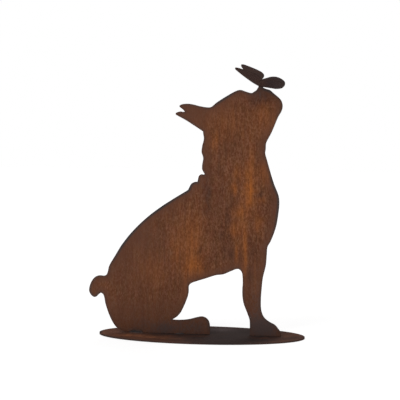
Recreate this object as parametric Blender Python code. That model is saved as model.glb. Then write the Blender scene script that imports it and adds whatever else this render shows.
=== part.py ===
"""Rusted steel garden figure: a flat bulldog that sits on an oval plate with a folded butterfly on its nose.

Metres, +Z up. The dog faces +X, and its sheet stands on the long axis of the oval plate. The origin is
the centre of the plate's underside.
"""

import math

import bmesh
import bpy
from mathutils import Vector
from mathutils.geometry import interpolate_bezier

# Oval foot plate
BASE_LENGTH = 0.300
BASE_WIDTH = 0.120
BASE_SHEET = 0.0025
BASE_SEGMENTS = 144

# Dog, cut from one flat sheet, measured from its soles to the top of its nose
DOG_HEIGHT = 0.3592
DOG_SHEET = 0.0020

# Butterfly, cut from thinner sheet and folded along its body, measured across its flat wings
BUTTERFLY_SPAN = 0.1072
BUTTERFLY_SHEET = 0.0015
BUTTERFLY_FOLD_RADIUS = 0.0030
WING_RAISE = math.radians(25.8)
BUTTERFLY_PITCH = math.radians(8.8)
BUTTERFLY_TURN = math.radians(1.5)

# The fold is this wide on each side of the body, and is bent in this many flat strips on each side
FOLD_HALF_WIDTH = BUTTERFLY_FOLD_RADIUS * WING_RAISE
FOLD_STRIPS = 2

# The welded pieces stay this far apart
WELD_GAP = 0.0003

# Points closer than this are one point
SAME_POINT = 1e-6

# The solidify offset that keeps the drawn surface as the underside
THICKEN_UPWARDS = 1.0

# The dog's sheet is drawn lying down and turned upright
UPRIGHT = math.radians(90)

# Along a curved outline, two points are at most this far apart, and it turns at most this much between them
OUTLINE_STEP = 0.0025
OUTLINE_TURN = math.radians(14)

# A Bezier handle's length as a share of the way to the next node, which makes the curve nearly round
HANDLE_SHARE = 0.35

# Finish
BASE_COLOUR = (0.10, 0.045, 0.025)
DOG_COLOUR = (0.13, 0.05, 0.025)
BUTTERFLY_COLOUR = (0.05, 0.03, 0.025)
RUST_ROUGHNESS = 0.72
RUST_METALLIC = 0.3

CORNER = "corner"

# The dog is drawn 359.2 units tall. Each node is (along, up), from the soles up, and a node marked
# CORNER is sharp. The curve runs through the other nodes without a break.
DRAWN_HEIGHT = 359.2

RUMP = (
    (-107.5, 0.0, CORNER),
    (-113.0, 0.5),
    (-123.6, 5.6),
    (-129.5, 12.3),
    (-135.5, 24.3),
    (-141.0, 40.5),
    (-143.0, 51.0),
)

TAIL = (
    (-144.8, 55.2),
    (-147.7, 56.9),
    (-150.8, 55.0),
    (-154.0, 51.8),
    (-157.5, 50.5),
    (-162.5, 53.8),
    (-165.3, 60.0),
    (-164.0, 68.0),
    (-160.2, 76.0),
    (-155.0, 81.0),
    (-149.0, 82.7),
    (-142.5, 82.4),
    (-139.2, 84.4),
    (-137.2, 89.4),
    (-135.2, 97.4),
)

BACK = (
    (-127.0, 111.5),
    (-116.0, 129.3),
    (-100.0, 149.2),
    (-80.0, 168.6),
    (-60.0, 184.2),
    (-40.0, 197.4),
    (-22.5, 208.2),
)

NECK_FOLDS = (
    (-19.3, 210.6),
    (-17.2, 214.7),
    (-14.2, 219.5),
    (-9.8, 221.7),
    (-5.6, 222.3, CORNER),
    (-4.8, 226.5),
    (-3.2, 231.2),
    (0.2, 233.0),
    (4.0, 232.4, CORNER),
    (4.5, 234.0, CORNER),
    (1.4, 239.4),
    (1.0, 243.0),
    (1.6, 249.0),
    (2.7, 256.0),
    (1.8, 260.3),
    (0.3, 265.0),
    (1.2, 273.5),
    (3.6, 284.0),
    (2.7, 291.0),
    (2.4, 294.6, CORNER),
)

EARS = (
    (-10.0, 302.7),
    (-24.0, 311.4),
    (-36.2, 317.9),
    (-37.2, 319.6),
    (-35.6, 321.3),
    (-30.0, 322.8),
    (-25.6, 322.2),
    (-24.0, 322.9, CORNER),
    (-27.2, 326.3),
    (-31.4, 329.6),
    (-31.1, 331.5),
    (-27.0, 333.3),
    (-19.5, 333.9),
    (-12.0, 333.0),
    (-3.0, 330.8),
    (8.0, 329.1),
    (14.0, 329.7),
)

BROW = (
    (22.0, 336.2),
    (38.0, 346.4),
    (50.5, 353.2),
    (56.5, 354.2),
    (64.0, 351.9),
    (71.8, 350.1),
)

STOP = (
    (75.5, 352.0),
    (79.3, 354.8),
    (80.8, 357.6),
)

# The butterfly is welded to the first of these nodes
NOSE = (
    (82.9, 359.2),
    (87.0, 358.5),
    (91.5, 356.4),
)

MUZZLE = (
    (98.0, 354.4),
    (103.6, 349.7),
    (109.0, 345.3),
    (113.9, 340.2),
    (116.2, 333.0),
    (114.9, 325.3),
    (109.9, 316.3),
    (100.8, 294.6),
    (94.0, 281.5),
    (92.7, 277.5),
)

CHEST = (
    (92.4, 270.2),
    (91.7, 264.5),
    (94.2, 255.0),
    (98.5, 240.0),
    (104.5, 221.0),
    (110.9, 204.8),
    (112.3, 195.0),
    (111.4, 181.0),
    (107.6, 158.5),
    (100.2, 138.0),
    (95.7, 129.6),
    (94.8, 120.0),
)

FORELEG = (
    (93.4, 103.0),
    (89.2, 84.5),
    (87.4, 67.0),
    (86.5, 52.0),
    (87.2, 37.0),
    (91.1, 27.5),
    (98.0, 21.4),
    (106.8, 16.6),
    (111.5, 11.4),
    (115.0, 6.0),
    (115.5, 0.0, CORNER),
    (70.4, 0.0, CORNER),
    (70.3, 22.0),
    (67.5, 31.0),
    (61.5, 46.7),
    (59.7, 58.0),
    (59.6, 68.7),
    (60.1, 76.0),
    (59.7, 87.0),
    (58.2, 93.0),
    (53.3, 96.8),
)

BELLY = (
    (44.0, 93.8),
    (32.0, 88.6),
    (21.0, 86.9),
    (6.0, 81.8),
    (-10.0, 76.5),
    (-15.5, 73.9),
    (-18.2, 70.2),
)

THIGH = (
    (-18.6, 61.5),
    (-20.7, 52.5),
    (-29.1, 33.0),
    (-34.6, 25.8),
    (-42.4, 20.2, CORNER),
)

HIND_FOOT = (
    (-32.0, 20.1),
    (-19.0, 21.4),
    (-5.0, 25.1),
    (1.2, 26.0),
    (7.0, 24.0),
    (11.0, 19.3),
    (12.6, 12.0),
    (12.7, 4.0),
    (12.2, 0.0, CORNER),
    (-86.0, 0.0, CORNER),
    (-88.0, 3.0),
    (-95.0, 4.2),
    (-103.0, 2.6),
)

DOG_OUTLINE = (
    RUMP + TAIL + BACK + NECK_FOLDS + EARS + BROW + STOP + NOSE + MUZZLE
    + CHEST + FORELEG + BELLY + THIGH + HIND_FOOT
)

# One half of the butterfly, drawn 53.6 units wide. Each node is (along the body, out from it), with the
# head end of the fold at 0. The fold is the straight edge from the tail end to the head end.
DRAWN_HALF_SPAN = 53.6
BODY_DRAWN = 22.0

FOREWING = (
    (0.0, 0.0, CORNER),
    (-9.0, 9.6),
    (-21.2, 27.2),
    (-30.2, 42.4),
    (-34.1, 50.6),
    (-32.8, 53.6),
    (-25.6, 52.2),
    (-7.6, 43.8),
    (-0.6, 38.2),
    (2.6, 30.6),
    (0.4, 19.6, CORNER),
)

HINDWING = (
    (6.4, 25.4),
    (13.0, 31.4),
    (20.4, 33.2),
    (27.8, 29.8),
    (33.2, 23.4),
    (34.7, 16.0),
    (33.0, 8.4),
    (28.4, 3.4),
    (BODY_DRAWN, 0.0, CORNER),
)


def clear_scene():
    """Remove the objects that a new file starts with."""
    for obj in list(bpy.data.objects):
        bpy.data.objects.remove(obj, do_unlink=True)


def rusted_steel(name, colour):
    """A rusted steel finish."""
    material = bpy.data.materials.new(name)
    material.use_nodes = True
    shader = material.node_tree.nodes["Principled BSDF"]
    shader.inputs["Base Color"].default_value = (*colour, 1.0)
    shader.inputs["Roughness"].default_value = RUST_ROUGHNESS
    shader.inputs["Metallic"].default_value = RUST_METALLIC
    return material


def outline(nodes, scale, closed=True):
    """The points of a smooth cut line through the nodes, closer together where it turns more."""
    places = [Vector((along, up, 0)) * scale for along, up, *_ in nodes]
    sharp = [CORNER in node for node in nodes]
    count = len(places)
    points = []
    for i in range(count if closed else count - 1):
        j = (i + 1) % count
        start, end = places[i], places[j]
        straight = end - start
        leaving = straight if sharp[i] else end - places[i - 1]
        arriving = straight if sharp[j] else places[(j + 1) % count] - start
        if sharp[i] and sharp[j]:
            steps = 1
        else:
            steps = math.ceil(max(straight.length / OUTLINE_STEP, leaving.angle(arriving) / OUTLINE_TURN))
        reach = straight.length * HANDLE_SHARE
        first = start + leaving.normalized() * reach
        second = end - arriving.normalized() * reach
        points += interpolate_bezier(start, first, second, end, steps + 1)[:-1]
    return points if closed else points + [places[-1]]


def add_object(name, mesh_tools, material):
    """Turn finished mesh tools into a named object with one material."""
    mesh = bpy.data.meshes.new(name)
    mesh_tools.to_mesh(mesh)
    mesh_tools.free()
    mesh.materials.append(material)
    obj = bpy.data.objects.new(name, mesh)
    bpy.context.scene.collection.objects.link(obj)
    return obj


def flat_plate(name, points, thickness, material):
    """A plate cut along points in its own XY plane, with its thickness from 0 up along Z."""
    tools = bmesh.new()
    face = tools.faces.new([tools.verts.new(point) for point in points])
    sides = bmesh.ops.extrude_face_region(tools, geom=[face])
    raised = [item for item in sides["geom"] if isinstance(item, bmesh.types.BMVert)]
    bmesh.ops.translate(tools, verts=raised, vec=(0, 0, thickness))
    bmesh.ops.recalc_face_normals(tools, faces=tools.faces)
    return add_object(name, tools, material)


def make_base():
    """The oval foot plate, with its underside at height 0."""
    points = []
    for i in range(BASE_SEGMENTS):
        angle = math.tau * i / BASE_SEGMENTS
        points.append((BASE_LENGTH / 2 * math.cos(angle), BASE_WIDTH / 2 * math.sin(angle), 0))
    return flat_plate("base_plate", points, BASE_SHEET, rusted_steel("base_rust", BASE_COLOUR))


def make_dog():
    """The dog's profile, stood upright on the plate's long axis."""
    points = outline(DOG_OUTLINE, DOG_HEIGHT / DRAWN_HEIGHT)
    dog = flat_plate("dog_profile", points, DOG_SHEET, rusted_steel("dog_rust", DOG_COLOUR))
    dog.rotation_euler = (UPRIGHT, 0, 0)
    dog.location = (0, DOG_SHEET / 2, BASE_SHEET + WELD_GAP)
    return dog


def folded(point):
    """Where a point of the flat butterfly goes when the sheet is folded up on both sides of its body."""
    along, out, _ = point
    turn = min(abs(out), FOLD_HALF_WIDTH) / BUTTERFLY_FOLD_RADIUS
    straight = max(abs(out) - FOLD_HALF_WIDTH, 0)
    across = BUTTERFLY_FOLD_RADIUS * math.sin(turn) + straight * math.cos(turn)
    up = BUTTERFLY_FOLD_RADIUS * (1 - math.cos(turn)) + straight * math.sin(turn)
    return Vector((along, math.copysign(across, out), up))


def make_butterfly():
    """The folded butterfly, whose fold rests on the nose and is turned a little out of the dog's plane."""
    half = outline(FOREWING + HINDWING, BUTTERFLY_SPAN / 2 / DRAWN_HALF_SPAN, closed=False)
    tools = bmesh.new()
    for side, path in ((1, reversed(half)), (-1, half)):
        tools.faces.new([tools.verts.new((point.x, side * point.y, 0)) for point in path])
    bmesh.ops.remove_doubles(tools, verts=tools.verts, dist=SAME_POINT)
    for i in range(-FOLD_STRIPS, FOLD_STRIPS + 1):
        if i == 0:
            continue
        crease = (0, FOLD_HALF_WIDTH * i / FOLD_STRIPS, 0)
        parts = tools.verts[:] + tools.edges[:] + tools.faces[:]
        bmesh.ops.bisect_plane(tools, geom=parts, plane_co=crease, plane_no=(0, 1, 0))
    for vertex in tools.verts:
        vertex.co = folded(vertex.co)
    butterfly = add_object("butterfly", tools, rusted_steel("butterfly_rust", BUTTERFLY_COLOUR))
    sheet = butterfly.modifiers.new("sheet thickness", "SOLIDIFY")
    sheet.thickness = BUTTERFLY_SHEET
    sheet.offset = THICKEN_UPWARDS
    sheet.use_even_offset = True

    nose_along, nose_up = NOSE[0]
    dog_scale = DOG_HEIGHT / DRAWN_HEIGHT
    butterfly.rotation_euler = (0, BUTTERFLY_PITCH, BUTTERFLY_TURN)
    butterfly.location = (
        nose_along * dog_scale,
        0,
        BASE_SHEET + WELD_GAP + nose_up * dog_scale + WELD_GAP,
    )
    return butterfly


clear_scene()
make_base()
make_dog()
make_butterfly()
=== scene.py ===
"""Looks of a figure of rusted sheet steel: foot plate, dog, butterfly and the welds that hold them."""

import math

import bmesh
import bpy
import numpy as np
from mathutils import Matrix, Vector, noise
from mathutils.geometry import delaunay_2d_cdt, interpolate_bezier
from mathutils.kdtree import KDTree


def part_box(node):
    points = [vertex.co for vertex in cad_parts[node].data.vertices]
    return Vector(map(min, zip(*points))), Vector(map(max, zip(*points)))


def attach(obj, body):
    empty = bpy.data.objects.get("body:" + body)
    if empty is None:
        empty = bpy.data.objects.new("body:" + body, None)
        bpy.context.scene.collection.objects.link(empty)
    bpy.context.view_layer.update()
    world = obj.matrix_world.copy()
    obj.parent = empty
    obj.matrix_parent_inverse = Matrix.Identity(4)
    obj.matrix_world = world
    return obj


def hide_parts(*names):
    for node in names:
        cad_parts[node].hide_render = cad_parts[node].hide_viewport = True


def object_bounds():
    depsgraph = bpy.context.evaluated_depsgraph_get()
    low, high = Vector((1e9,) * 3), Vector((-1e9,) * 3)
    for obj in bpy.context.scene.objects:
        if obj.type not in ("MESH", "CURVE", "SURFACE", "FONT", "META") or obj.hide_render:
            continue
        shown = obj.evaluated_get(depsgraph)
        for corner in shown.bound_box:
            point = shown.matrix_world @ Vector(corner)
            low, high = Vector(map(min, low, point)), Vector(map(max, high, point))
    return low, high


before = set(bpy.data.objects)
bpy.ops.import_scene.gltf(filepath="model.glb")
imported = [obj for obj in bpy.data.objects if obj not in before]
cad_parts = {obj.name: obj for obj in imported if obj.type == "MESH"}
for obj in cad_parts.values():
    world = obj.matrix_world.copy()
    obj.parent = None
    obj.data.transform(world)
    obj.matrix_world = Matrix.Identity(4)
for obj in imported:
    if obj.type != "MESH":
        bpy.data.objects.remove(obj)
cad_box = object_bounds()

# Camera
# It stands 2.5 m from the middle of the foot plate, 8 degrees round towards the way the dog faces and
# 12 degrees up. It looks 7 degrees down, at the middle of the figure, as the photograph does.
CAMERA_DISTANCE = 2.5
CAMERA_AZIMUTH = math.radians(8.061)
CAMERA_ELEVATION = math.radians(11.718)
CAMERA_PAN = math.radians(8.108)
CAMERA_DIP = math.radians(7.197)
CAMERA_LENS = 154.687
SENSOR_WIDTH = 36.0


def direction(azimuth, elevation):
    """The unit vector from the origin to a place at this azimuth (0 is the front, -Y) and elevation."""
    level = math.cos(elevation)
    return Vector((math.sin(azimuth) * level, -math.cos(azimuth) * level, math.sin(elevation)))


def look_from(obj, place, towards):
    """Put a camera or a light at a place, level, pointed in a direction."""
    side = towards.cross(Vector((0, 0, 1))).normalized()
    above = side.cross(towards)
    obj.matrix_world = Matrix.Translation(place) @ Matrix((side, above, -towards)).transposed().to_4x4()


camera = bpy.data.objects.new("camera", bpy.data.cameras.new("camera"))
camera.data.lens = CAMERA_LENS
camera.data.sensor_width = SENSOR_WIDTH
bpy.context.scene.collection.objects.link(camera)
look_from(
    camera,
    direction(CAMERA_AZIMUTH, CAMERA_ELEVATION) * CAMERA_DISTANCE,
    -direction(CAMERA_PAN, CAMERA_DIP),
)
bpy.context.scene.camera = camera
bpy.context.scene.view_settings.view_transform = "Standard"

# Floor and light
# A plain white floor that glows a little, as a lit sweep of paper does, under a white room. Wide soft
# lamps stand in front at the left, in front at the right, and behind.
FLOOR_SIZE = 4.4
FLOOR_DROP = 0.0002
FLOOR_GLOW = 0.74
FLOOR_WHITE = 0.40
ROOM_LIGHT = 0.42
ROOM_SEEN = 1.0
WHITE = (1, 1, 1, 1)

# Each lamp is (azimuth, elevation, distance, width, power)
KEY_LAMP = (-38, 42, 3.0, 1.6, 34.0)
FILL_LAMP = (48, 20, 3.2, 1.8, 8.0)
BACK_LAMP = (165, 38, 3.0, 1.8, 24.0)


def put(tree, kind, inputs=None, **settings):
    """Add a shader node with its settings, and with a value or a link for each of the inputs named."""
    node = tree.nodes.new("ShaderNode" + kind)
    for name, value in settings.items():
        setattr(node, name, value)
    for name, value in (inputs or {}).items():
        if isinstance(value, bpy.types.NodeSocket):
            tree.links.new(value, node.inputs[name])
        else:
            node.inputs[name].default_value = value
    return node


def make_floor():
    """The white floor, just under the foot plate."""
    half = FLOOR_SIZE / 2
    corners = [(-half, -half), (half, -half), (half, half), (-half, half)]
    mesh = bpy.data.meshes.new("floor")
    mesh.from_pydata([(x, y, -FLOOR_DROP) for x, y in corners], [], [(0, 1, 2, 3)])
    white = bpy.data.materials.new("white floor")
    white.use_nodes = True
    shader = white.node_tree.nodes["Principled BSDF"]
    shader.inputs["Base Color"].default_value = (FLOOR_WHITE, FLOOR_WHITE, FLOOR_WHITE, 1)
    shader.inputs["Roughness"].default_value = 1.0
    shader.inputs["Specular IOR Level"].default_value = 0.0
    shader.inputs["Emission Color"].default_value = WHITE
    shader.inputs["Emission Strength"].default_value = FLOOR_GLOW
    mesh.materials.append(white)
    floor = bpy.data.objects.new("floor", mesh)
    bpy.context.scene.collection.objects.link(floor)


def make_lamp(name, azimuth, elevation, distance, width, power):
    """A square soft lamp that looks at the middle of the figure."""
    lamp = bpy.data.objects.new(name, bpy.data.lights.new(name, "AREA"))
    lamp.data.size = width
    lamp.data.energy = power
    bpy.context.scene.collection.objects.link(lamp)
    away = direction(math.radians(azimuth), math.radians(elevation))
    middle = (cad_box[0] + cad_box[1]) / 2
    look_from(lamp, middle + away * distance, -away)


def make_room():
    """The white room, which is seen as pure white and lights the figure less than that."""
    room = bpy.data.worlds.new("white room")
    room.use_nodes = True
    tree = room.node_tree
    backdrop = tree.nodes["Background"]
    backdrop.inputs["Color"].default_value = WHITE
    seen = put(tree, "LightPath").outputs["Is Camera Ray"]
    strength = put(tree, "MapRange", {"Value": seen, "To Min": ROOM_LIGHT, "To Max": ROOM_SEEN})
    tree.links.new(strength.outputs[0], backdrop.inputs["Strength"])
    bpy.context.scene.world = room


make_floor()
make_lamp("key lamp", *KEY_LAMP)
make_lamp("fill lamp", *FILL_LAMP)
make_lamp("back lamp", *BACK_LAMP)
make_room()

# Foot plate
# An oval of 2.5 mm steel sheet, cut by laser and left to rust. It is orange-brown at its two ends and
# dark in the middle, with dark rust and with painted shade along the foot of the dog's sheet, under its
# rump and along the front edge.
PLATE_POINTS = 520
PLATE_GRID = 0.0016
PLATE_PITS = 0.00010

# Every sheet has worn arrises, and a ripple that the beam has left in the cut
ARRIS = 0.00028
ARRIS_STEPS = 3
CUT_WAVE = 0.0011
CUT_DEPTH = 0.00003

# Its faces are meshed with rows of points, each half a step off the row before and shaken a little. The
# first three values are shares of a step. A metre has MM millimetres.
ROW_SHARE = 0.866
GRID_SHAKE = 0.12
GRID_CLEAR = 0.7
SHAKE_SEED = 7
MM = 1000
SAME_POINT_MM = 1e-5
INSIDE_ONLY = 1

# Rust has eaten small pits and slow hollows into both faces, but hardly any beside the cut. The pits'
# noise is (how its octaves fade, how much finer each is, how many there are).
PIT_SIZE = 0.0034
PIT_NOISE = (1.0, 2.0, 2)
WARP_SIZE = 0.030
WARP_DEPTH = 0.00010
CALM_EDGE = 0.0025
SIDES_APART = 9.0
WARP_APART = 4.0

# Each tone of the rust is (how pale it is, its colour as seen on a screen)
PLATE_TONES = (
    (0.00, (52, 37, 33)),
    (0.30, (66, 46, 39)),
    (0.52, (82, 54, 43)),
    (0.75, (97, 60, 42)),
    (1.00, (124, 74, 42)),
)
# The dark colour is that of dark rust and of painted shade, and the rim colour that of a painted grey sheen
PLATE_COLOURS = {
    "Skin": (97, 63, 50),
    "Orange": (130, 84, 60),
    "DarkAndShade": (51, 41, 39),
    "Rim": (76, 64, 63),
    "Cut": (60, 45, 40),
}

# How much each pattern of the rust shifts the tone, and how large it is along X, Y and Z
PLATE_AMOUNTS = {"Grain": 0.30, "Runs": 0.15, "Blotches": 0.40}
PLATE_SIZES = {
    "Grain": (0.003, 0.003, 0.003),
    "Runs": (0.009, 0.009, 0.009),
    "Blotches": (0.022, 0.022, 0.022),
    "Hues": (0.016, 0.016, 0.016),
}
PLATE_GLOSS = 0.04

# Each spot is (along, across, half length, half width, strength), in millimetres from the middle
PLATE_ORANGE_SPOTS = (
    (-100, -22, 24, 9, 0.95),
    (-70, -31, 26, 9, 0.75),
    (-36, -38, 22, 7, 0.4),
    (-130, -6, 20, 16, 0.35),
    (-112, 15, 16, 8, 0.45),
    (-60, 34, 40, 12, 0.4),
    (104, 24, 16, 12, 0.2),
    (124, 8, 10, 11, 0.35),
)
# Dark rust in the middle, and painted shade along the foot of the dog's sheet, under its rump and along the
# front edge
PLATE_DARK_AND_SHADE_SPOTS = (
    (26, -18, 62, 34, 0.95),
    (78, -16, 36, 32, 0.95),
    # Painted shade along the front edge
    (44, -60, 72, 22, 0.95),
    (40, 30, 90, 30, 0.95),
    (138, -11, 20, 16, 0.38),
    (150, -3, 5, 12, 0.5),
    # Painted contact shade along the foot of the dog's sheet
    (-40, -6, 40, 8, 0.75),
    # Painted shadow under the dog's rump, seen through the gap between the rump and the hind foot
    (-96, 7, 18, 10, 0.98),
    (-150, 0, 6, 14, 0.9),
)

# Beside the feet the plate is painted lighter: painted light that takes back the shade of the dog's sheet
PLATE_PAINTED_LIGHT_SPOTS = (
    (-8, -13, 24, 8, 0.45),
    (90, -13, 24, 8, 0.5),
)

# Behind the gap between the feet a paler, greyer painted sheen, like the painted sheen at its rim
PLATE_SHEEN_SPOTS = (
    (25, 40, 20, 15, 0.95),
)

# Each fade is (start, end) as a distance from the cut, and a stray is (size, reach) of a ragged outline
PLATE_STRAY = (0.011, 0.006)
# Along the cut a grey sheen is painted, where the plate is not dark
PLATE_EDGE_SHEEN_SHARE = 0.3
PLATE_EDGE_SHEEN_FADE = (0.0004, 0.0022)
PLATE_SMOOTH_FADE = (0.003, 0.012)


def into_the_sheet(line):
    """For each point of a closed anticlockwise line, the flat unit vector that leads into the sheet."""
    ahead = np.roll(line, -1, 0) - line
    ahead /= np.linalg.norm(ahead, axis=1, keepdims=True)
    tangent = ahead + np.roll(ahead, 1, 0)
    tangent /= np.linalg.norm(tangent, axis=1, keepdims=True)
    return np.stack([-tangent[:, 1], tangent[:, 0]], 1)


def rippled(line, inward):
    """A cut line with the fine ripple that the beam leaves."""
    travelled = np.cumsum(np.linalg.norm(np.roll(line, -1, 0) - line, axis=1))
    ripple = np.array([noise.noise((way / CUT_WAVE, 0, 0)) for way in travelled])
    return line + inward * ((1 + ripple) / 2 * CUT_DEPTH)[:, None]


def arris_rings(thickness):
    """The rings of points round a cut, from the lower face to the upper, as (distance in, height)."""
    quarter = [math.pi / 2 * i / ARRIS_STEPS for i in range(ARRIS_STEPS + 1)]
    lower = [(ARRIS * (1 - math.sin(turn)), ARRIS * (1 - math.cos(turn))) for turn in quarter]
    return lower + [(inset, thickness - height) for inset, height in reversed(lower)]


def filled(edge, low, high, grid):
    """Fill a flat edge, which lies between two corners, with even triangles about one grid step wide.

    The result is the triangles, the points inside the edge, and how far each of these is from it. In the
    triangles the edge's own points come first.
    """
    count = len(edge)
    nearest = KDTree(count)
    for i, point in enumerate(edge):
        nearest.insert((point[0], point[1], 0), i)
    nearest.balance()
    shake = np.random.default_rng(SHAKE_SEED)
    inside, from_cut = [], []
    rows = int((high[1] - low[1]) / (grid * ROW_SHARE)) + 1
    columns = int((high[0] - low[0]) / grid) + 2
    for row in range(rows):
        for column in range(columns):
            step = shake.uniform(-GRID_SHAKE, GRID_SHAKE, 2) * grid
            across = low[1] + row * grid * ROW_SHARE + step[1]
            along = low[0] + (column - row % 2 / 2) * grid + step[0]
            distance = nearest.find((along, across, 0))[2]
            if distance > grid * GRID_CLEAR:
                inside.append((along, across))
                from_cut.append(distance)

    flat = [Vector(point) * MM for point in (*edge, *inside)]
    around = [(i, (i + 1) % count) for i in range(count)]
    _, _, faces, made_from, _, _ = delaunay_2d_cdt(flat, around, [], INSIDE_ONLY, SAME_POINT_MM)
    triangles = np.array([[made_from[corner][0] for corner in face] for face in faces])
    used = np.unique(triangles[triangles >= count])
    renumber = np.arange(len(flat))
    renumber[used] = count + np.arange(len(used))
    return renumber[triangles], np.array(inside)[used - count], np.array(from_cut)[used - count]


def eaten(inside, from_cut, pit_depth):
    """How deep rust has eaten into the lower face and into the upper face at each point inside."""
    depths = []
    for side in (0, 1):
        for along, across in inside:
            pit = noise.fractal((along / PIT_SIZE, across / PIT_SIZE, side * SIDES_APART), *PIT_NOISE)
            warp_place = (along / WARP_SIZE, across / WARP_SIZE, side * SIDES_APART + WARP_APART)
            depths.append(pit_depth * max(0, pit) + WARP_DEPTH * (1 + noise.noise(warp_place)) / 2)
    calm = np.minimum(1, from_cut / CALM_EDGE)
    return [face * calm for face in np.split(np.array(depths), 2)]


def cut_sheet(name, line, thickness, grid, pit_depth, place):
    """A sheet of steel cut along a closed line, with worn arrises, a rippled cut and faintly pitted faces.

    The line is flat, (along, across) and anticlockwise. place takes arrays of along, across and height
    through the sheet, and gives points of the figure. The result is the piece, and for each of its
    points along, across, whether it is on the upper side, and how far it is from the cut.
    """
    line = np.array([point[:2] for point in line])
    inward = into_the_sheet(line)
    line = rippled(line, inward)
    rings = arris_rings(thickness)
    triangles, inside, from_cut = filled(line + inward * ARRIS, line.min(0), line.max(0), grid)
    low_pits, high_pits = eaten(inside, from_cut, pit_depth)

    count = len(line)
    flat = np.concatenate([line + inward * inset for inset, _ in rings] + [inside, inside])
    heights = np.concatenate(
        [np.full(count, height) for _, height in rings] + [low_pits, thickness - high_pits])
    points = place(flat[:, 0], flat[:, 1], heights)

    last = len(rings) - 1
    rim = len(rings) * count
    bottom = np.where(triangles < count, triangles, triangles + rim - count)
    top = np.where(triangles < count, triangles + last * count, triangles + rim - count + len(inside))
    here = np.arange(count)
    onward = (here + 1) % count
    around = np.stack([here, onward, onward + count, here + count], 1)
    sides = np.concatenate([around + ring * count for ring in range(last)])
    mesh = bpy.data.meshes.new(name)
    mesh.from_pydata(points.tolist(), [], [*bottom[:, ::-1].tolist(), *top.tolist(), *sides.tolist()])
    mesh.shade_smooth()
    piece = bpy.data.objects.new(name, mesh)
    bpy.context.scene.collection.objects.link(piece)

    ring_of = np.repeat(np.arange(len(rings)), count)
    lower, upper = np.zeros(len(inside), bool), np.ones(len(inside), bool)
    mark(piece, "cut", np.concatenate([(ring_of > 0) & (ring_of < last), lower, lower]))
    on_top = np.concatenate([ring_of * 2 > last, lower, upper])
    from_edge = np.concatenate([np.zeros(rim), from_cut, from_cut])
    return piece, flat[:, 0], flat[:, 1], on_top, from_edge


def mark(piece, name, values):
    """Keep one value for each point of a piece, which its material reads by name."""
    layer = piece.data.attributes.new(name, "FLOAT", "POINT")
    layer.data.foreach_set("value", np.asarray(values, np.float32))


def strayed(along, across, size, reach):
    """Points moved about by up to reach, so that what is placed with them has a ragged outline."""
    steps = np.array([noise.noise_vector((a / size, b / size, 0)) for a, b in zip(along, across)])
    return along + steps[:, 0] * reach, across + steps[:, 1] * reach


def soft_spots(along, across, spots):
    """How far each point, in metres, is covered by soft oval spots, in millimetres."""
    bare = np.ones(len(along))
    for middle, height, half_along, half_across, strength in spots:
        off = ((along * MM - middle) / half_along) ** 2 + ((across * MM - height) / half_across) ** 2
        bare *= 1 - strength * np.exp(-off)
    return 1 - bare


def rise(values, start, end):
    """0 at start and 1 at end, with a smooth way between."""
    share = np.clip((values - start) / (end - start), 0, 1)
    return share * share * (3 - 2 * share)


# How a colour on a screen, as a share of full brightness, turns into light
SCREEN_FLOOR = 0.055
SCREEN_POWER = 2.4


def paint(red, green, blue):
    """A shader colour from a colour as it looks on a screen, 0 to 255."""
    shares = [value / 255 for value in (red, green, blue)]
    return (*[((share + SCREEN_FLOOR) / (1 + SCREEN_FLOOR)) ** SCREEN_POWER for share in shares], 1.0)


# Each pattern of the rust is (name, octaves of detail, the share of each octave in the one before it, the
# noise that reads as 0, the noise that reads as 1)
WEATHER_PATTERNS = (
    ("Grain", 6.0, 0.74, 0.35, 0.66),
    ("Runs", 3.0, 0.6, 0.25, 0.75),
    ("Blotches", 4.0, 0.6, 0.25, 0.75),
    ("Hues", 4.0, 0.8, 0.30, 0.70),
)


def new_group(name, inputs, outputs):
    """A new shader node group with sockets of these names and kinds: its tree, and its two ends."""
    tree = bpy.data.node_groups.new(name, "ShaderNodeTree")
    for socket, kind in inputs.items():
        tree.interface.new_socket(socket, in_out="INPUT", socket_type="NodeSocket" + kind)
    for socket, kind in outputs.items():
        tree.interface.new_socket(socket, in_out="OUTPUT", socket_type="NodeSocket" + kind)
    return tree, tree.nodes.new("NodeGroupInput").outputs, tree.nodes.new("NodeGroupOutput").inputs


def make_weather_group():
    """Grey patterns that rust makes on steel outdoors: fine grain, runs of water, blotches and hues."""
    names = [name for name, *_ in WEATHER_PATTERNS]
    sizes = {name + " Size": "Vector" for name in names}
    tree, given, result = new_group("weather", {"Place": "Vector", **sizes}, dict.fromkeys(names, "Float"))
    for name, octaves, finer, low, high in WEATHER_PATTERNS:
        scaled = put(tree, "VectorMath", {0: given["Place"], 1: given[name + " Size"]}, operation="DIVIDE")
        pattern = put(tree, "TexNoise", {
            "Vector": scaled.outputs[0], "Scale": 1.0, "Detail": octaves, "Roughness": finer})
        spread = put(tree, "MapRange", {
            "Value": pattern.outputs["Fac"], "From Min": low, "From Max": high,
        }, interpolation_type="SMOOTHSTEP")
        tree.links.new(spread.outputs[0], result[name])
    return tree


def calculated(tree, operation, first, second=0.0, third=0.0, clamp=False):
    """The output of a maths node."""
    node = put(tree, "Math", {0: first, 1: second, 2: third}, operation=operation, use_clamp=clamp)
    return node.outputs[0]


# A mix node has sockets of the same names for each kind of data, and these are the colours' own
MIX_SHARE = 0
MIX_FIRST = 6
MIX_SECOND = 7
MIX_RESULT = 2


def blended(tree, share, colour, other):
    """The output of a node that mixes two colours."""
    inputs = {MIX_SHARE: share, MIX_FIRST: colour, MIX_SECOND: other}
    return put(tree, "Mix", inputs, data_type="RGBA").outputs[MIX_RESULT]


def marked(tree, name):
    """The value that mark() kept on the piece under this name, or 0 where it kept none."""
    return put(tree, "Attribute", attribute_name=name).outputs["Fac"]


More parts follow.
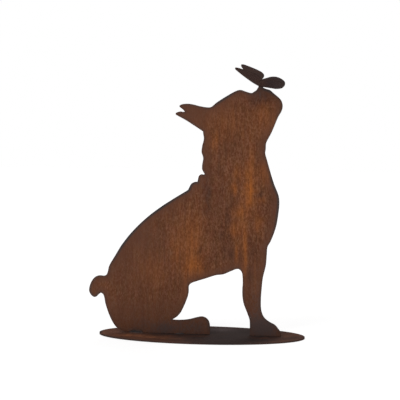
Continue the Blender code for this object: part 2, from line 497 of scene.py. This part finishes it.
# Where the skin of rust is smooth, this share of each pattern is gone, and this much of the skin shows
CALMED = {"Grain": 0.97, "Runs": 0.25, "Blotches": 0.3}
SKIN_SHARE = 0.75

# A brown spot lowers the tone by this much. Fresh orange rust shows everywhere in its spots by this
# share, and more in runs and in grain. The dark colour, dark rust and on the plate painted shade too,
# shows from one sum of spot and grain to the other.
MIDDLE_TONE = 0.5
BROWN_SHARE = 0.4
ORANGE_EVERYWHERE = 0.28
ORANGE_IN_RUNS = 0.6
ORANGE_IN_GRAIN = 0.65
DARK_IN_GRAIN = 0.35
DARK_FROM = 0.2
DARK_TO = 1.1

# The hue swings to both sides by this much, and the palest grains are this much greyer than the middle
SAME_HUE = 0.5
HUE_SWING = 0.005
GREY_SWING = 0.10
GRAIN_HEIGHT = 0.00016


def make_tone_group():
    """How pale the rust is, from 0 to 1: patterns shift it by their amounts, and brown spots lower it."""
    amounts = {pattern + " Amount": "Float" for pattern in CALMED}
    inputs = {**dict.fromkeys(CALMED, "Float"), **amounts}
    tree, given, result = new_group("rust tone", inputs, {"Tone": "Float"})
    tone = calculated(tree, "MULTIPLY_ADD", marked(tree, "brown"), -BROWN_SHARE, MIDDLE_TONE)
    for pattern, calmed in CALMED.items():
        kept = calculated(tree, "MULTIPLY_ADD", marked(tree, "smooth"), -calmed, 1.0)
        strength = calculated(tree, "MULTIPLY", kept, given[pattern + " Amount"])
        shift = calculated(tree, "SUBTRACT", given[pattern], MIDDLE_TONE)
        tone = calculated(tree, "MULTIPLY_ADD", shift, strength, tone)
    tree.links.new(tone, result["Tone"])
    return tree


def make_colour_group():
    """What goes over the colour of the tone: swings of hue, smooth skin, orange, dark and painted shade,
    rim and cut.
    """
    patterns = dict.fromkeys(("Grain", "Runs", "Hues"), "Float")
    colours = dict.fromkeys(("Colour", "Skin", "Orange", "DarkAndShade", "Rim", "Cut"), "Color")
    tree, given, result = new_group("rust colour", {**patterns, **colours}, {"Colour": "Color"})
    hue = put(tree, "MapRange", {
        "Value": given["Hues"], "To Min": SAME_HUE - HUE_SWING, "To Max": SAME_HUE + HUE_SWING})
    strong = put(tree, "MapRange", {
        "Value": given["Grain"], "To Min": 1 + GREY_SWING, "To Max": 1 - GREY_SWING})
    colour = put(tree, "HueSaturation", {
        "Hue": hue.outputs[0], "Saturation": strong.outputs[0], "Color": given["Colour"]}).outputs["Color"]

    skinned = calculated(tree, "MULTIPLY", marked(tree, "smooth"), SKIN_SHARE)
    colour = blended(tree, skinned, colour, given["Skin"])
    fresh = calculated(tree, "MULTIPLY_ADD", given["Runs"], ORANGE_IN_RUNS, ORANGE_EVERYWHERE)
    fresh = calculated(tree, "MULTIPLY_ADD", given["Grain"], ORANGE_IN_GRAIN, fresh)
    fresh = calculated(tree, "MULTIPLY", marked(tree, "orange"), fresh, clamp=True)
    colour = blended(tree, fresh, colour, given["Orange"])
    patchy = calculated(tree, "MULTIPLY_ADD", given["Grain"], DARK_IN_GRAIN, marked(tree, "dark_and_shade"))
    patchy = put(tree, "MapRange", {
        "Value": patchy, "From Min": DARK_FROM, "From Max": DARK_TO}, interpolation_type="SMOOTHSTEP")
    # The dark colour brings dark rust and, on the plate, painted shade. The rim colour is painted: edge
    # shade on the dog, a grey sheen on the plate.
    colour = blended(tree, patchy.outputs[0], colour, given["DarkAndShade"])
    colour = blended(tree, marked(tree, "rim"), colour, given["Rim"])
    outside_dark = calculated(tree, "SUBTRACT", 1.0, marked(tree, "dark_and_shade"), clamp=True)
    cut_outside_dark = calculated(tree, "MULTIPLY", marked(tree, "cut"), outside_dark)
    tree.links.new(blended(tree, cut_outside_dark, colour, given["Cut"]), result["Colour"])
    return tree


WEATHER = make_weather_group()
RUST_TONE = make_tone_group()
RUST_COLOUR = make_colour_group()


def rusted(name, tones, colours, amounts, sizes, roughness=(0.74, 0.92), gloss=0.1, relief=0.5):
    """Rusted steel. colours are those of its smooth skin, orange spots, dark spots and painted shade, rim
    and cut.

    amounts say how much grain, runs and blotches shift the tone, and sizes how large those patterns and
    the hues are along X, Y and Z. roughness is that of the darkest and of the palest tone.
    """
    material = bpy.data.materials.new(name)
    material.use_nodes = True
    tree = material.node_tree
    shader = tree.nodes["Principled BSDF"]
    place = put(tree, "TexCoord").outputs["Object"]
    sizes = {pattern + " Size": size for pattern, size in sizes.items()}
    weather = put(tree, "Group", {"Place": place, **sizes}, node_tree=WEATHER).outputs
    grain, runs, hues = weather["Grain"], weather["Runs"], weather["Hues"]

    shifting = {pattern: weather[pattern] for pattern in amounts}
    amounts = {pattern + " Amount": amount for pattern, amount in amounts.items()}
    tone = put(tree, "Group", {**shifting, **amounts}, node_tree=RUST_TONE).outputs["Tone"]
    ramp = put(tree, "ValToRGB", {"Fac": tone})
    stops = ramp.color_ramp.elements
    while len(stops) < len(tones):
        stops.new(MIDDLE_TONE)
    for stop, (position, colour) in zip(stops, tones):
        stop.position = position
        stop.color = paint(*colour)
    painted = {part: paint(*colour) for part, colour in colours.items()}
    rust = put(tree, "Group", {
        "Colour": ramp.outputs["Color"], "Grain": grain, "Runs": runs, "Hues": hues, **painted,
    }, node_tree=RUST_COLOUR)
    tree.links.new(rust.outputs["Colour"], shader.inputs["Base Color"])

    smoothest, roughest = roughness
    dull = put(tree, "MapRange", {"Value": tone, "To Min": smoothest, "To Max": roughest})
    tree.links.new(dull.outputs[0], shader.inputs["Roughness"])
    shader.inputs["Specular IOR Level"].default_value = gloss
    bump = put(tree, "Bump", {"Height": grain, "Strength": relief, "Distance": GRAIN_HEIGHT})
    tree.links.new(bump.outputs[0], shader.inputs["Normal"])
    return material


def make_foot_plate():
    """The oval plate that the dog stands on."""
    low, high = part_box("base_plate")
    half_length, half_width = high.x, high.y
    turns = [math.tau * i / PLATE_POINTS for i in range(PLATE_POINTS)]
    line = [(half_length * math.cos(turn), half_width * math.sin(turn)) for turn in turns]
    plate, along, across, _, from_edge = cut_sheet(
        "foot_plate", line, high.z - low.z, PLATE_GRID, PLATE_PITS,
        lambda u, v, w: np.stack([u, v, w + low.z], 1),
    )
    far_along, far_across = strayed(along, across, *PLATE_STRAY)
    # Dark rust and painted shade, less where painted light lies beside the feet
    dark_and_shade = soft_spots(far_along, far_across, PLATE_DARK_AND_SHADE_SPOTS)
    dark_and_shade *= 1 - soft_spots(far_along, far_across, PLATE_PAINTED_LIGHT_SPOTS)
    # A painted sheen behind the gap between the feet
    pale = soft_spots(far_along, far_across, PLATE_SHEEN_SPOTS)
    # Painted grey sheen along the cut
    rim = PLATE_EDGE_SHEEN_SHARE * (1 - dark_and_shade) * (1 - rise(from_edge, *PLATE_EDGE_SHEEN_FADE))
    mark(plate, "orange", soft_spots(far_along, far_across, PLATE_ORANGE_SPOTS))
    mark(plate, "dark_and_shade", dark_and_shade)
    # The rim colour is a painted grey sheen, along the cut and behind the gap between the feet
    mark(plate, "rim", np.maximum(pale, rim))
    mark(plate, "smooth", 1 - rise(from_edge, *PLATE_SMOOTH_FADE))
    plate.data.materials.append(
        rusted("plate rust", PLATE_TONES, PLATE_COLOURS, PLATE_AMOUNTS, PLATE_SIZES, gloss=PLATE_GLOSS))
    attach(plate, "root")
    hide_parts("base_plate")


make_foot_plate()

# Dog
# One flat profile of 2 mm steel sheet, cut by laser and welded upright on the plate. Its rust is warm
# brown and finely grained, with orange runs down the chest and belly, and the feet stay dark with damp.
DOG_STEP = 0.0007
DOG_GRID = 0.00136
DOG_PITS = 0.00008
SOLE_BAND = 0.00001

# How a cut line is read from a solid: the faces that turn this far towards us are its near side, and
# corners are the same if they agree to so many digits. Sharper turns than this stay corners.
SAME_SIDE = 0.7
KEY_DIGITS = 6
SHARP_TURN = math.radians(30)

DOG_TONES = (
    (0.00, (66, 42, 32)),
    (0.22, (82, 49, 33)),
    (0.50, (98, 60, 40)),
    (0.72, (114, 71, 47)),
    (1.00, (132, 83, 52)),
)
# The rim colour is that of painted edge shade
DOG_COLOURS = {
    "Skin": (88, 57, 44),
    "Orange": (162, 91, 34),
    "DarkAndShade": (74, 60, 57),
    "Rim": (55, 52, 52),
    "Cut": (46, 41, 40),
}
DOG_AMOUNTS = {"Grain": 0.59, "Runs": 0.23, "Blotches": 0.18}
DOG_SIZES = {
    "Grain": (0.0017, 0.0017, 0.0038),
    "Runs": (0.0040, 0.0040, 0.046),
    "Blotches": (0.026, 0.026, 0.040),
    "Hues": (0.009, 0.009, 0.016),
}

# Each spot is (along, up, half length, half height, strength), in millimetres, on the side that is
# seen first. The other side has the same spots a little to one side, as no two sides rust alike.
DOG_ORANGE_SPOTS = (
    (70, 212, 7, 26, 0.66),
    (72, 257, 6, 22, 0.25),
    (88, 200, 7, 6, 0.2),
    (49, 156, 9, 12, 0.25),
    (61, 142, 5, 44, 0.22),
    (82, 168, 5, 14, 0.28),
    (48, 214, 5, 8, 0.35),
    (61, 183, 12, 22, 0.06),
    (-11, 103, 15, 14, 0.4),
    (-15, 134, 14, 26, 0.3),
    (-14, 160, 22, 26, 0.12),
    (-37, 124, 8, 24, 0.22),
    (20, 284, 6, 12, 0.2),
    (36, 306, 34, 26, 0.16),
    (88, 322, 12, 24, 0.18),
    (104, 308, 7, 16, 0.2),
    (89, 237, 10, 14, 0.25),
    (53, 238, 7, 12, 0.26),
    (56, 182, 9, 10, 0.3),
    (-70, 92, 20, 26, 0.14),
    (-25, 79, 6, 26, 0.1),
)
DOG_BROWN_SPOTS = (
    (10, 192, 4, 22, 0.6),
    (8, 226, 6, 20, 0.35),
    (23, 240, 6, 16, 0.35),
    (38, 176, 7, 20, 0.5),
    (32, 148, 9, 13, 0.65),
    (36, 124, 7, 16, 0.35),
    (36, 218, 5, 10, 0.3),
    (58, 117, 5, 9, 0.6),
    (0, 129, 4, 12, 0.5),
    (-35, 174, 6, 10, 0.35),
    (75, 129, 6, 17, 0.5),
    (68, 94, 6, 10, 0.4),
    (87, 208, 6, 7, 0.8),
    (101, 199, 7, 14, 0.45),
    (21, 170, 6, 12, 0.3),
    (4, 102, 5, 9, 0.8),
    (15, 112, 8, 10, 0.4),
    (38, 277, 7, 13, 0.3),
    (84, 348, 18, 15, 0.95),
)

# Straight runs of rusty water between the belly and the top of the foreleg
DOG_ORANGE_RUNS = (
    (51, 123, 2.4, 14, 0.35),
    (64, 124, 2.4, 24, 0.35),
    (62, 92, 2, 16, 0.2),
    (78, 92, 1.6, 30, 0.08),
)
DOG_BROWN_RUNS = (
    (34, 124, 2.6, 12, 0.35),
    (44, 123, 3.4, 13, 0.55),
    (57, 122, 2.4, 13, 0.65),
    (70, 92, 3.2, 24, 0.3),
    (82, 120, 3, 14, 0.3),
)
DOG_DAMP_SPOTS = (
    (8, 206, 5, 24, 0.3),
    (84, 350, 14, 12, 0.45),
    (90, 16, 28, 22, 0.95),
    (82, 50, 14, 20, 0.3),
    (-5, 12, 26, 16, 0.5),
    (-50, 10, 24, 12, 0.7),
    (-88, 13, 22, 14, 0.3),
)

# The painted shade along the edge, dark and blue-grey, is darkest here
DOG_EDGE_SHADE_SPOTS = (
    (-110, 140, 40, 40, 0.9),
    (-60, 186, 40, 30, 0.95),
    (-18, 214, 24, 16, 0.9),
    (34, 344, 26, 16, 0.8),
    (94, 355, 14, 9, 0.8),
    (119, 324, 8, 12, 0.4),
    (104, 228, 8, 16, 0.6),
    (110, 192, 12, 40, 0.8),
    (-160, 66, 12, 20, 0.4),
    (20, 20, 16, 14, 0.5),
)

# Elsewhere the painted edge shade is dark by its least share. At the soles it is dark by the sole share
# of that higher up.
DOG_EDGE_SHADE_LEAST = 0.3
DOG_EDGE_SHADE_FADE = (0.0012, 0.0048)
SOLE_EDGE_SHADE = 0.5
SOLE_RISE = (0.004, 0.012)

# The skin of rust has less grain here, and none on the ear, the forehead and along the back
DOG_CALM_SPOTS = (
    (-12, 322, 28, 16, 1.0),
    (26, 336, 22, 12, 0.8),
    (-92, 148, 24, 26, 0.9),
    (-122, 126, 14, 24, 0.9),
    (-58, 190, 20, 12, 0.9),
    (-92, 96, 56, 50, 0.45),
    (-40, 160, 40, 40, 0.12),
    (50, 290, 50, 50, 0.14),
    (22, 200, 24, 30, 0.16),
    (62, 108, 28, 22, 0.35),
)

# It is smoother too on the foreleg, low down, and in a band along the cut. Each pair is (start, end).
LEG_SMOOTH = 0.5
LEG_FROM = (0.046, 0.058)
LEG_TOP = (0.095, 0.130)
LOW_SMOOTH = 0.6
LOW_TOP = (0.035, 0.070)
BAND_SMOOTH = 0.6
BAND_FADE = (0.006, 0.014)

# A point on the other side has the rust of a place stretched and moved by these, along and up
BACK_ALONG = (0.96, -0.006)
BACK_UP = (0.97, 0.004)
DOG_STRAY = (0.012, 0.005)


def cut_line(node, facing):
    """The points along a CAD node's cut, in order, on the side of its sheet that faces one way."""
    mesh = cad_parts[node].data
    edges = set()
    for face in mesh.polygons:
        if face.normal.dot(facing) < SAME_SIDE:
            continue
        corners = [mesh.vertices[i].co.to_tuple(KEY_DIGITS) for i in face.vertices]
        for start, end in zip(corners, corners[1:] + corners[:1]):
            if (end, start) in edges:
                edges.remove((end, start))
            else:
                edges.add((start, end))
    onward = dict(edges)
    first = min(onward)
    points = [first]
    while onward[points[-1]] != first:
        points.append(onward[points[-1]])
    return [Vector(point) for point in points]


def redrawn(points, step):
    """A flat cut line with points about one step apart, smooth but for its sharp corners."""
    count = len(points)
    legs = [points[(i + 1) % count] - points[i] for i in range(count)]
    line = []
    for i, leg in enumerate(legs):
        before, after = legs[i - 1], legs[(i + 1) % count]
        leaving = before.normalized() + leg.normalized() if before.angle(leg) < SHARP_TURN else leg
        arriving = leg.normalized() + after.normalized() if leg.angle(after) < SHARP_TURN else leg
        start, end = points[i], points[(i + 1) % count]
        first = start + leaving.normalized() * leg.length / 3
        second = end - arriving.normalized() * leg.length / 3
        steps = max(1, round(leg.length / step))
        line += interpolate_bezier(start, first, second, end, steps + 1)[:-1]
    return line


def mark_dog(dog, along, up, on_front, from_edge):
    """Keep on the dog where its rust is orange, brown, dark and smooth, and where edge shade is painted at
    the rim.
    """
    stretch, shift = BACK_ALONG
    shifted = np.where(on_front, along, along * stretch + shift)
    stretch, shift = BACK_UP
    raised = np.where(on_front, up, up * stretch + shift)
    far_along, far_up = strayed(shifted, raised, *DOG_STRAY)
    orange_runs = soft_spots(shifted, raised, DOG_ORANGE_RUNS)
    brown_runs = soft_spots(shifted, raised, DOG_BROWN_RUNS)
    mark(dog, "orange", soft_spots(far_along, far_up, DOG_ORANGE_SPOTS) + orange_runs)
    mark(dog, "brown", soft_spots(far_along, far_up, DOG_BROWN_SPOTS) + brown_runs)
    mark(dog, "dark_and_shade", soft_spots(far_along, far_up, DOG_DAMP_SPOTS))

    # Painted shade along the cut, strongest at its spots and weaker at the soles
    darkest = DOG_EDGE_SHADE_LEAST + (1 - DOG_EDGE_SHADE_LEAST) * soft_spots(along, up, DOG_EDGE_SHADE_SPOTS)
    above_soles = SOLE_EDGE_SHADE + (1 - SOLE_EDGE_SHADE) * rise(up, *SOLE_RISE)
    mark(dog, "rim", darkest * above_soles * (1 - rise(from_edge, *DOG_EDGE_SHADE_FADE)))

    calm = soft_spots(along, up, DOG_CALM_SPOTS)
    leg = LEG_SMOOTH * rise(along, *LEG_FROM) * (1 - rise(up, *LEG_TOP))
    low = LOW_SMOOTH * (1 - rise(up, *LOW_TOP))
    band = (BAND_SMOOTH + (1 - BAND_SMOOTH) * calm) * (1 - rise(from_edge, *BAND_FADE))
    mark(dog, "smooth", np.maximum.reduce([leg, low, band, calm]))


def make_dog():
    """The flat dog. Its welded soles are brought down to the plate, over the gap that the solid leaves."""
    low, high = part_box("dog_profile")
    plate_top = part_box("base_plate")[1].z
    flat = [Vector((point.x, point.z, 0)) for point in cut_line("dog_profile", Vector((0, -1, 0)))]
    for point in flat:
        if point.y < low.z + SOLE_BAND:
            point.y = plate_top
    dog, along, up, on_front, from_edge = cut_sheet(
        "dog_sheet", redrawn(flat, DOG_STEP), high.y - low.y, DOG_GRID, DOG_PITS,
        lambda u, v, w: np.stack([u, high.y - w, v], 1),
    )
    mark_dog(dog, along, up, on_front, from_edge)
    dog.data.materials.append(rusted("dog rust", DOG_TONES, DOG_COLOURS, DOG_AMOUNTS, DOG_SIZES))
    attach(dog, "root")
    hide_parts("dog_profile")


make_dog()

# Butterfly
# Thinner sheet, 1.5 mm, cut in one piece and folded up along the body, so that its wings stand in a
# shallow V. It is a darker brown than the dog.
BUTTERFLY_STEP = 0.0006
BUTTERFLY_GRID = 0.0011
BUTTERFLY_PITS = 0.00003
BUTTERFLY_SHEET = 0.0015
FOLD_RADIUS = 0.0030
WING_RAISE = math.radians(25.8)
BUTTERFLY_TURN = math.radians(1.5)
ON_THE_FOLD = 0.000001

BUTTERFLY_TONES = (
    (0.00, (45, 33, 31)),
    (0.45, (58, 41, 37)),
    (0.65, (65, 46, 39)),
    (1.00, (84, 57, 43)),
)
BUTTERFLY_COLOURS = {
    "Skin": (61, 43, 38),
    "Orange": (78, 53, 41),
    "DarkAndShade": (42, 35, 38),
    "Rim": (50, 38, 36),
    "Cut": (58, 43, 38),
}
BUTTERFLY_AMOUNTS = {"Grain": 0.7, "Runs": 0.3, "Blotches": 0.3}
BUTTERFLY_SIZES = {
    "Grain": (0.0009, 0.0009, 0.0009),
    "Runs": (0.0030, 0.0030, 0.0030),
    "Blotches": (0.014, 0.014, 0.014),
    "Hues": (0.020, 0.020, 0.020),
}
BUTTERFLY_RELIEF = 0.25

# The wings darken from the head backward, and their rim is a little darker
WING_DARKENING = 0.45
WING_DARKENING_RISE = (0.0, 0.014)
WING_RIM = 0.3
WING_RIM_FADE = (0.0006, 0.0026)
WING_SMOOTH = 0.3


def make_butterfly():
    """The butterfly: the node's cut line laid flat, redrawn, and folded up again."""
    points = cut_line("butterfly", Vector((0, 0, -1)))
    head = min(points, key=lambda point: abs(point.y))
    turned = Matrix.Rotation(BUTTERFLY_TURN, 3, "Z")
    points = [turned.inverted() @ (point - head) + head for point in points]
    tail = max((point for point in points if abs(point.y) < ON_THE_FOLD), key=lambda point: point.x)
    backward = (tail - head).normalized()
    upward = Vector((-backward.z, 0, backward.x))
    arc = FOLD_RADIUS * WING_RAISE

    def laid_flat(point):
        across = abs(point.y)
        straight = (across - FOLD_RADIUS * math.sin(WING_RAISE)) / math.cos(WING_RAISE)
        out = arc + straight if straight > 0 else FOLD_RADIUS * math.asin(across / FOLD_RADIUS)
        return Vector(((point - head).dot(backward), math.copysign(out, point.y), 0))

    def folded(along, out, height):
        turn = np.minimum(np.abs(out), arc) / FOLD_RADIUS
        straight = np.maximum(np.abs(out) - arc, 0)
        across = (FOLD_RADIUS - height) * np.sin(turn) + straight * np.cos(turn)
        up = FOLD_RADIUS - (FOLD_RADIUS - height) * np.cos(turn) + straight * np.sin(turn)
        sides = np.outer(np.sign(out) * across, (0, 1, 0))
        wings = np.outer(along, backward) + np.outer(up, upward) + sides
        return wings @ np.array(turned).T + np.array(head)

    flat = [laid_flat(point) for point in points]
    area = sum(a.cross(b).z for a, b in zip(flat, flat[1:] + flat[:1]))
    if area < 0:
        flat.reverse()
    wings, along, _, _, from_edge = cut_sheet(
        "butterfly_sheet", redrawn(flat, BUTTERFLY_STEP), BUTTERFLY_SHEET, BUTTERFLY_GRID, BUTTERFLY_PITS,
        folded,
    )
    mark(wings, "dark_and_shade", WING_DARKENING * rise(along, *WING_DARKENING_RISE))
    mark(wings, "rim", WING_RIM * (1 - rise(from_edge, *WING_RIM_FADE)))
    mark(wings, "smooth", np.full(len(along), WING_SMOOTH))
    wings.data.materials.append(rusted(
        "butterfly rust", BUTTERFLY_TONES, BUTTERFLY_COLOURS, BUTTERFLY_AMOUNTS, BUTTERFLY_SIZES,
        relief=BUTTERFLY_RELIEF,
    ))
    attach(wings, "root")
    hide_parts("butterfly")


make_butterfly()

# Welds
# Short runs of weld metal hold the figure together: one in front of the hind foot, as the photograph
# shows, two behind the dog, and one on each side of the nose under the butterfly's fold.
WELD_TONES = (
    (0.00, (36, 34, 36)),
    (0.45, (52, 47, 48)),
    (0.75, (74, 56, 48)),
    (1.00, (96, 66, 48)),
)
WELD_AMOUNTS = {"Grain": 0.4, "Runs": 0.1, "Blotches": 0.5}
WELD_SIZES = {
    "Grain": (0.0012, 0.0012, 0.0012),
    "Runs": (0.004, 0.004, 0.004),
    "Blotches": (0.006, 0.006, 0.006),
    "Hues": (0.006, 0.006, 0.006),
}
WELD_ROUGHNESS = (0.45, 0.8)

# Each run at the feet is (name, side of the dog's sheet, start, end, half width), and the ends of those at
# the nose are (along, how far above its top)
FOOT_WELDS = (
    ("weld_hind_foot_front", "front", -0.038, -0.025, 0.0024),
    ("weld_hind_foot_back", "back", -0.072, -0.050, 0.0026),
    ("weld_forepaw_back", "back", 0.082, 0.102, 0.0026),
)
NOSE_WELD_ENDS = ((0.0815, -0.0001), (0.0885, -0.0012))
NOSE_WELD_SIZE = 0.0012

# A run has ripples and lumps, a flattened section, and rounded ends of this power
WELD_STATIONS = 44
WELD_SIDES = 16
WELD_DEPTH = 0.0008
WELD_SUNK = 0.25
WELD_HEIGHT = 0.85
WELD_END_POWER = 3
RIPPLE_LENGTH = 0.0017
RIPPLE_SHARE = 0.13
LUMP_SHARE = 0.08
LUMPS_ALONG = 9
LUMPS_AROUND = 1.5
LUMPS_APART = 90
WELD_JOIN = 0.000001


def make_weld(name, start, end, out, size, slot, material):
    """A run of weld in the corner where two sheets meet: ripples between rounded ends.

    It goes from start to end. out is the way from the corner into the open, and size its half width.
    It sinks into neither sheet further than WELD_DEPTH.
    """
    start, end, out = Vector(start), Vector(end), Vector(out).normalized()
    along = (end - start).normalized()
    aside = along.cross(out)
    length = (end - start).length
    points = []
    for i in range(WELD_STATIONS):
        share = i / (WELD_STATIONS - 1)
        rounded = math.sqrt(max(0.0, 1 - abs(2 * share - 1) ** WELD_END_POWER))
        ripple = 1 - RIPPLE_SHARE * ((share * length / RIPPLE_LENGTH) % 1)
        middle = start + along * share * length - out * size * WELD_SUNK
        for k in range(WELD_SIDES):
            turn = math.tau * k / WELD_SIDES
            lump = 1 + LUMP_SHARE * noise.noise((
                share * LUMPS_ALONG,
                math.cos(turn) * LUMPS_AROUND,
                math.sin(turn) * LUMPS_AROUND + length * LUMPS_APART,
            ))
            reach = size * rounded * ripple * lump
            point = middle + (out * math.cos(turn) * WELD_HEIGHT + aside * math.sin(turn)) * reach
            # The two sheets are square to Y and to Z, and the run stops at WELD_DEPTH in each
            for axis in (1, 2):
                sunk = (point[axis] - start[axis]) * math.copysign(1, out[axis]) + WELD_DEPTH
                point[axis] -= min(0, sunk) * math.copysign(1, out[axis])
            points.append(point)
    faces = []
    for i in range(WELD_STATIONS - 1):
        for k in range(WELD_SIDES):
            here, beside = i * WELD_SIDES + k, i * WELD_SIDES + (k + 1) % WELD_SIDES
            faces.append((here, beside, beside + WELD_SIDES, here + WELD_SIDES))
    mesh = bpy.data.meshes.new(name)
    mesh.from_pydata(points, [], faces)
    tools = bmesh.new()
    tools.from_mesh(mesh)
    bmesh.ops.remove_doubles(tools, verts=tools.verts, dist=WELD_JOIN)
    bmesh.ops.recalc_face_normals(tools, faces=tools.faces)
    tools.to_mesh(mesh)
    tools.free()
    mesh.shade_smooth()
    mesh.materials.append(material)
    bead = bpy.data.objects.new(name, mesh)
    bpy.context.scene.collection.objects.link(bead)
    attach(bead, "root")


def make_welds():
    """All the runs of weld."""
    steel = rusted(
        "weld metal", WELD_TONES, PLATE_COLOURS, WELD_AMOUNTS, WELD_SIZES, roughness=WELD_ROUGHNESS)
    plate_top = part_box("base_plate")[1].z
    low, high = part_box("dog_profile")
    faces = {"front": low.y, "back": high.y}
    for name, side, start, end, size in FOOT_WELDS:
        face = faces[side]
        ends = [(along, face, plate_top) for along in (start, end)]
        make_weld(name, *ends, (0, math.copysign(1, face), 1), size, "dog_rust", steel)
    for side, face in faces.items():
        ends = [(along, face, high.z + above) for along, above in NOSE_WELD_ENDS]
        out = (0, math.copysign(1, face), -1)
        make_weld("weld_nose_" + side, *ends, out, NOSE_WELD_SIZE, "butterfly_rust", steel)


make_welds()
